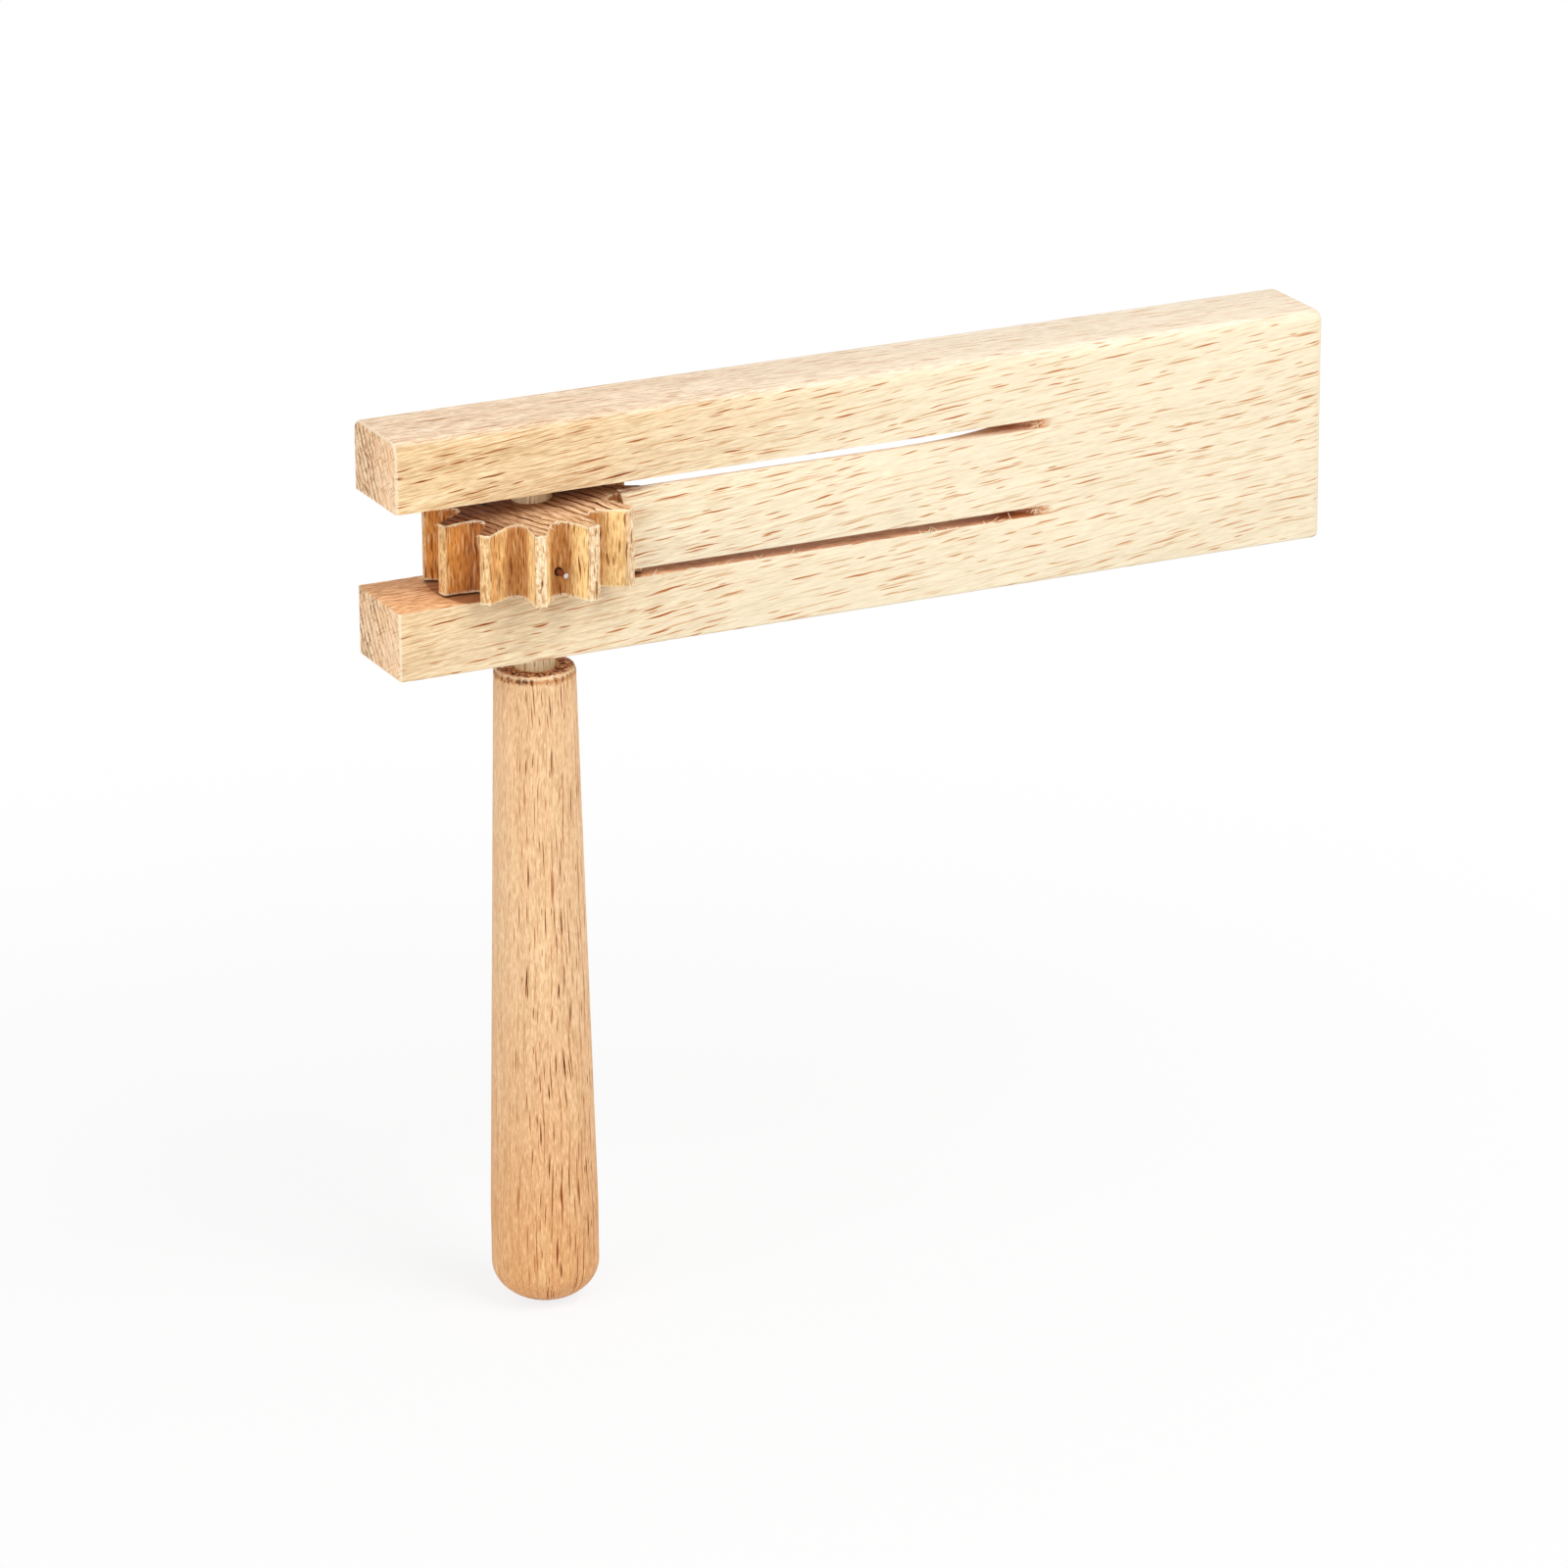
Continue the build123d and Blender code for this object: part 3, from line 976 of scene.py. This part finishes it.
def pin_line():
    """Where the pin enters its valley, and the direction in which it stands out."""
    valley = TONGUE_VALLEY - PIN_VALLEYS_BACK * TOOTH_PITCH
    mouth = Vector((math.cos(valley), math.sin(valley), 0)) * ROOT_RADIUS
    mouth.z = wheel_low.z + PIN_HEIGHT
    return mouth, Vector((math.cos(valley + PIN_SLANT), math.sin(valley + PIN_SLANT), 0))


def make_wheel():
    """A disc whose rim is pushed in at each valley, then drawn up to its height, bored and roughened."""
    bpy.ops.mesh.primitive_circle_add(
        vertices=TOOTH_COUNT * STEPS_PER_TOOTH, radius=WHEEL_RADIUS, fill_type="NGON",
        location=(0, 0, wheel_low.z), rotation=(0, 0, TONGUE_VALLEY),
    )
    wheel = named("ratchet_wheel_wood")
    with edit_mode(wheel, "VERT") as mesh:
        for step in range(-STEPS_PER_TOOTH // 2, STEPS_PER_TOOTH // 2):
            phase = step * TOOTH_PITCH / STEPS_PER_TOOTH

            def in_phase(vertex):
                turn = math.atan2(vertex.co.y, vertex.co.x) - TONGUE_VALLEY - phase
                return near((turn + TOOTH_PITCH / 2) % TOOTH_PITCH, TOOTH_PITCH / 2, SAME_TURN)
            choose(mesh, mesh.verts, in_phase)
            factor = tooth_radius(phase) / WHEEL_RADIUS
            bpy.ops.transform.resize(value=(factor, factor, 1), center_override=(0, 0, wheel_low.z))
    height = wheel_high.z - wheel_low.z
    with edit_mode(wheel, "FACE"):
        bpy.ops.mesh.select_all(action="SELECT")
        bpy.ops.mesh.extrude_region_move(TRANSFORM_OT_translate={"value": (0, 0, height)})
    tidy(wheel)
    soften(wheel, lambda edge: is_sharp(edge) and not along(edge, "Z"), RIM_SOFTENING, clamp=False)
    roughen_rims(wheel)
    slant_top(wheel)
    beyond = 3 * MM
    bore = add_upright(
        "bore", AXLE_RADIUS + GLUE_CLEARANCE, Vector(), wheel_low.z - beyond, wheel_high.z + beyond, 64)
    mouth, direction = pin_line()
    hole = add_cylinder(
        "hole", PIN_RADIUS + PIN_HOLE_CLEARANCE, mouth - direction * PIN_HOLE_DEPTH,
        mouth + direction * 2 * MM, 20)
    cut(wheel, bore, hole)
    smooth(wheel, math.radians(30))
    return wheel


def wheel_top(point):
    """Height of the wheel's upper face over a point."""
    return wheel_high.z + WHEEL_TOP_LIFT + WHEEL_TOP_RISE_X * point.x + WHEEL_TOP_RISE_Y * point.y


def slant_top(wheel):
    """Lifts and tilts the upper face with the points of its rim."""
    centre = Vector((0, 0, wheel_high.z + WHEEL_TOP_LIFT))
    tilts = {"X": -math.atan(WHEEL_TOP_RISE_Y), "Y": math.atan(WHEEL_TOP_RISE_X)}
    with edit_mode(wheel, "VERT") as mesh:
        choose(mesh, mesh.verts, lambda vertex: wheel_high.z - vertex.co.z < TOP_REACH)
        bpy.ops.transform.translate(value=(0, 0, WHEEL_TOP_LIFT))
        for axis, angle in tilts.items():
            bpy.ops.transform.rotate(value=angle, orient_axis=axis, center_override=centre)


def roughen_rims(wheel):
    """Frays the edges round both end faces, the lower one more."""
    ruffle(wheel, lambda vertex: FLUSH < wheel_high.z - vertex.co.z < RIM_DEPTH, UPPER_FRAY, 23)
    ruffle(wheel, lambda vertex: FLUSH < vertex.co.z - wheel_low.z < RIM_DEPTH, LOWER_FRAY, 24)


def make_pin():
    """A length of wire, snipped to a blunt wedge, and the direction in which it stands out."""
    mouth, direction = pin_line()
    embedded = ROOT_RADIUS - AXLE_RADIUS + PIN_BITE
    end = mouth + direction * PIN_STAND_OUT
    pin = add_cylinder("wheel_pin_wire", PIN_RADIUS, mouth - direction * embedded, end, vertices=28)
    across = direction.cross(Vector((0, 0, 1)))
    with edit_mode(pin, "FACE") as mesh:
        choose(mesh, mesh.faces, lambda face: face.normal.dot(direction) > 0.9)
        bpy.ops.mesh.inset(thickness=PIN_WEDGE_INSET)
        bpy.ops.transform.resize(value=(1, 1, PIN_WEDGE_SQUEEZE), center_override=end)
        bpy.ops.transform.translate(value=-across * PIN_WEDGE_PUSH)
    soften(pin, lambda edge: is_sharp(edge, math.radians(25)), PIN_EDGE_ROUND)
    tidy(pin, 0.0005 * MM)
    smooth(pin)
    return pin, direction


# Handle and axle

def spin_profile(name, profile, steps=128):
    """Turns a profile of (radius, height) points round the axle, as on a lathe."""
    bpy.ops.mesh.primitive_plane_add(size=1)
    piece = named(name)
    with edit_mode(piece, "VERT"):
        bpy.ops.mesh.select_all(action="SELECT")
        bpy.ops.mesh.merge(type="CENTER")
        bpy.ops.transform.translate(value=(profile[0][0], 0, profile[0][1]))
        for (r0, z0), (r1, z1) in zip(profile, profile[1:]):
            bpy.ops.mesh.extrude_region_move(TRANSFORM_OT_translate={"value": (r1 - r0, 0, z1 - z0)})
        bpy.ops.mesh.select_all(action="SELECT")
        bpy.ops.mesh.spin(steps=steps, angle=2 * math.pi, center=(0, 0, 0), axis=(0, 0, 1))
    tidy(piece)
    return piece


def arc(centre, radii, start, end, steps):
    """Points on an ellipse's arc, from one angle to another, in degrees."""
    points = []
    for i in range(steps + 1):
        a = math.radians(start + (end - start) * i / steps)
        points.append((centre[0] + radii[0] * math.cos(a), centre[1] + radii[1] * math.sin(a)))
    return points


def make_handle():
    """Turned from the butt to the rim, then down into its bore, with the rim torn a little."""
    butt_radius = handle_high.x
    band_bottom = handle_low.z + BUTT_ROUND_HEIGHT
    bore = AXLE_RADIUS + GLUE_CLEARANCE
    profile = arc((0, band_bottom), (butt_radius, BUTT_ROUND_HEIGHT), -90, 0, 16)
    profile.append((butt_radius, band_bottom + BUTT_BAND_LENGTH))
    rim_centre = (HANDLE_TOP_RADIUS - RIM_ROUND, handle_high.z - RIM_ROUND)
    profile += arc(rim_centre, (RIM_ROUND, RIM_ROUND), 0, 90, 6)
    profile.append((bore + MOUTH_CHAMFER, handle_high.z))
    profile.append((bore, handle_high.z - MOUTH_CHAMFER))
    profile.append((bore, axle_low.z))
    profile.append((0, axle_low.z))
    handle = spin_profile("handle_wood", profile, steps=160)

    def on_rim(vertex):
        outside = Vector((vertex.co.x, vertex.co.y)).length > bore + MOUTH_CHAMFER - TOUCH
        return outside and handle_high.z - vertex.co.z < RIM_ROUND + 0.05 * MM
    ruffle(handle, on_rim, RIM_TEAR, 31)
    smooth(handle)
    return handle


def make_axle():
    """A dowel with both ends chamfered."""
    end_radius = AXLE_RADIUS - AXLE_CHAMFER
    profile = [
        (0, axle_low.z), (end_radius, axle_low.z), (AXLE_RADIUS, axle_low.z + AXLE_CHAMFER),
        (AXLE_RADIUS, axle_high.z - AXLE_CHAMFER), (end_radius, axle_high.z), (0, axle_high.z),
    ]
    axle = spin_profile("axle_wood", profile, steps=96)
    smooth(axle)
    return axle


# Torn fibres

def make_hair():
    """One tapered hair of unit length and width along Z, curling over towards its end."""
    bpy.ops.mesh.primitive_cone_add(vertices=5, radius1=0.5, radius2=0.12, depth=1, location=(0, 0, 0.5))
    hair = named("hair")
    divide(hair, lambda edge: abs(edge.verts[0].co.z - edge.verts[1].co.z) > 0.5, 4)
    for height, push in ((0.3, 0.12), (0.5, 0.3), (0.7, 0.48), (0.9, 0.72)):
        shift(hair, lambda vertex: vertex.co.z > height, (push, 0, 0))
    return hair


def fray(name, spots, seed):
    """Copies of one hair at each spot, a root and a direction, each with its own length, lean and curl."""
    dice = random.Random(seed)
    hair = make_hair()
    copies = []
    for root, direction in spots:
        length = dice.uniform(*HAIR_LENGTHS) * MM
        width = dice.uniform(*HAIR_WIDTHS) * MM
        lean = Vector((dice.uniform(-1, 1), dice.uniform(-1, 1), dice.uniform(-1, 1))) * HAIR_LEAN
        turn = (direction + lean).to_track_quat("Z", "X").to_matrix().to_4x4()
        curl = Matrix.Rotation(dice.uniform(0, 2 * math.pi), 4, "Z")
        strand = add_holder(name, hair.data.copy())
        stretch = Matrix.Diagonal((width, width, length, 1))
        strand.matrix_world = Matrix.Translation(root) @ turn @ curl @ stretch
        copies.append(strand)
    bpy.data.objects.remove(hair)
    pick(copies[0])
    for strand in copies:
        strand.select_set(True)
    bpy.ops.object.join()
    frayed = named(name)
    smooth(frayed)
    return frayed


def kerf_spots():
    """Along the lower kerf's edges on the front, and thicker at the ragged ends of both kerfs."""
    dice = random.Random(41)
    spots = []
    front = block_low.y + HAIR_SINK
    for _ in range(KERF_TAIL_HAIRS):
        x = dice.uniform(tongue_high.x, KERF_REACH - 2 * MM)
        z = dice.choice((SLOT_FLOOR, SLOT_FLOOR, tongue_low.z, SLOT_ROOF))
        spots.append((Vector((x, front, z)), Vector((dice.uniform(-1, 1), -0.25, 0.3))))
    for _ in range(SLOT_HAIRS):
        x = dice.uniform(-8 * MM, tongue_high.x)
        spots.append((Vector((x, front, SLOT_FLOOR)), Vector((dice.uniform(-1, 1), -0.2, 0.25))))
    for line in (SLOT_FLOOR, tongue_high.z):
        for _ in range(KERF_END_HAIRS):
            x = KERF_REACH + dice.uniform(-1.2, 0.1) * MM
            z = line + dice.uniform(0.1, 1.2) * MM
            root = Vector((x, block_low.y + 0.3 * MM, z))
            spots.append((root, Vector((-1, -0.3, dice.uniform(-0.3, 0.3)))))
    return spots


def rim_spots():
    """Round both end faces of the wheel, on the flanks' edges."""
    dice = random.Random(43)
    spots = []
    for _ in range(WHEEL_HAIRS):
        turn = dice.uniform(0, 2 * math.pi)
        from_valley = (turn - TONGUE_VALLEY + TOOTH_PITCH / 2) % TOOTH_PITCH - TOOTH_PITCH / 2
        outward = Vector((math.cos(turn), math.sin(turn), 0))
        sideways = outward.cross(Vector((0, 0, 1))) * dice.uniform(-0.8, 0.8)
        root = outward * (tooth_radius(from_valley) - UPPER_FRAY)
        lower = dice.random() < LOWER_RIM_SHARE
        root.z = wheel_low.z + LOWER_FRAY if lower else wheel_top(root) - UPPER_FRAY
        spots.append((root, outward * 0.5 + sideways))
    return spots


# The object

head_block = make_head_block()
finish_piece(head_block, "head", "block_beech", block_beech("block_beech"), "head_block")

tongue = make_tongue()
keep_rest(tongue)
finish_piece(tongue, None, "block_beech", block_beech("tongue_beech", bends=True), "tongue")
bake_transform(tongue)

finish_piece(make_wheel(), "grip_group", "wheel_beech", wheel_beech(), "ratchet_wheel")
pin, pin_direction = make_pin()
finish_piece(pin, "grip_group", "brad_steel", brad_steel(pin_direction), "wheel_pin")
finish_piece(make_handle(), "grip_group", "handle_beech", handle_beech(), "handle")
finish_piece(make_axle(), "grip_group", "dowel_beech", dowel_beech(), "axle")

pale_fibre = frayed_fibre()
finish_piece(fray("kerf_fibres", kerf_spots(), 51), "head", "block_beech", pale_fibre)
finish_piece(fray("wheel_fibres", rim_spots(), 53), "grip_group", "wheel_beech", pale_fibre)


# Stage: pale floor, soft light, camera at the photograph's angle

ROOM_LIGHT = 0.42


def pale_floor():
    """White to the camera and to reflections, with the object's shadow kept."""
    board = new_board("pale_floor")
    paper = board.node("BsdfDiffuse", {"Color": (0.9, 0.9, 0.9)})
    white = board.node("Emission", {"Color": (1, 1, 1), "Strength": 1.0})
    off_middle = board.measure("LENGTH", board.node("TexCoord").outputs["Object"])
    share = board.in_view() * off_middle.ramp(0.04, 0.3, 0.82, 1.0)
    return board.surface(board.node("MixShader", {0: share, 1: paper.outputs[0], 2: white.outputs[0]}))


def make_stage():
    bpy.ops.mesh.primitive_plane_add(size=12, location=(0, 0, handle_low.z))
    floor = named("floor")
    floor.data.materials.append(pale_floor())


def make_lights():
    """A soft room, white to the camera, and two large lamps."""
    room = bpy.data.worlds.new("soft_room")
    bpy.context.scene.world = room
    board = Board(room)
    strength = board.in_view().blend(ROOM_LIGHT, 1.0)
    board.surface(board.node("Background", {"Color": (1, 1, 1), "Strength": strength}), "OutputWorld")
    lamps = {
        "key": (Vector((0.45, -0.8, 1.1)), 0.9, 12.0),
        "fill": (Vector((-1.0, -0.45, 0.5)), 0.9, 6.0),
    }
    for name, (place, size, power) in lamps.items():
        lamp = bpy.data.lights.new(name, "AREA")
        lamp.size = size
        lamp.energy = power
        holder = add_holder(name, lamp)
        holder.location = place
        holder.rotation_euler = (place - Vector((0.04, 0, 0.05))).to_track_quat("Z", "Y").to_euler()


def make_camera():
    """A long lens, level with the photograph's framing of 1600 by 1600 pixels."""
    azimuth, elevation, roll = (math.radians(a) for a in (-25.870, 19.711, -0.379))
    target = Vector((40.02, 0, 24.76)) * MM
    distance = 1076.6 * MM
    level = math.cos(elevation)
    back = Vector((math.sin(azimuth) * level, -math.cos(azimuth) * level, math.sin(elevation)))
    right = Vector((math.cos(azimuth), math.sin(azimuth), 0))
    up = back.cross(right)
    turned_right = math.cos(roll) * right + math.sin(roll) * up
    turned_up = back.cross(turned_right)
    lens = bpy.data.cameras.new("camera")
    lens.sensor_width = 36
    lens.lens = 166.81
    camera = add_holder("camera", lens)
    camera.location = target + back * distance
    camera.rotation_euler = Matrix((turned_right, turned_up, back)).transposed().to_euler()
    bpy.context.scene.camera = camera


make_stage()
make_lights()
make_camera()
bpy.context.scene.view_settings.view_transform = "Standard"
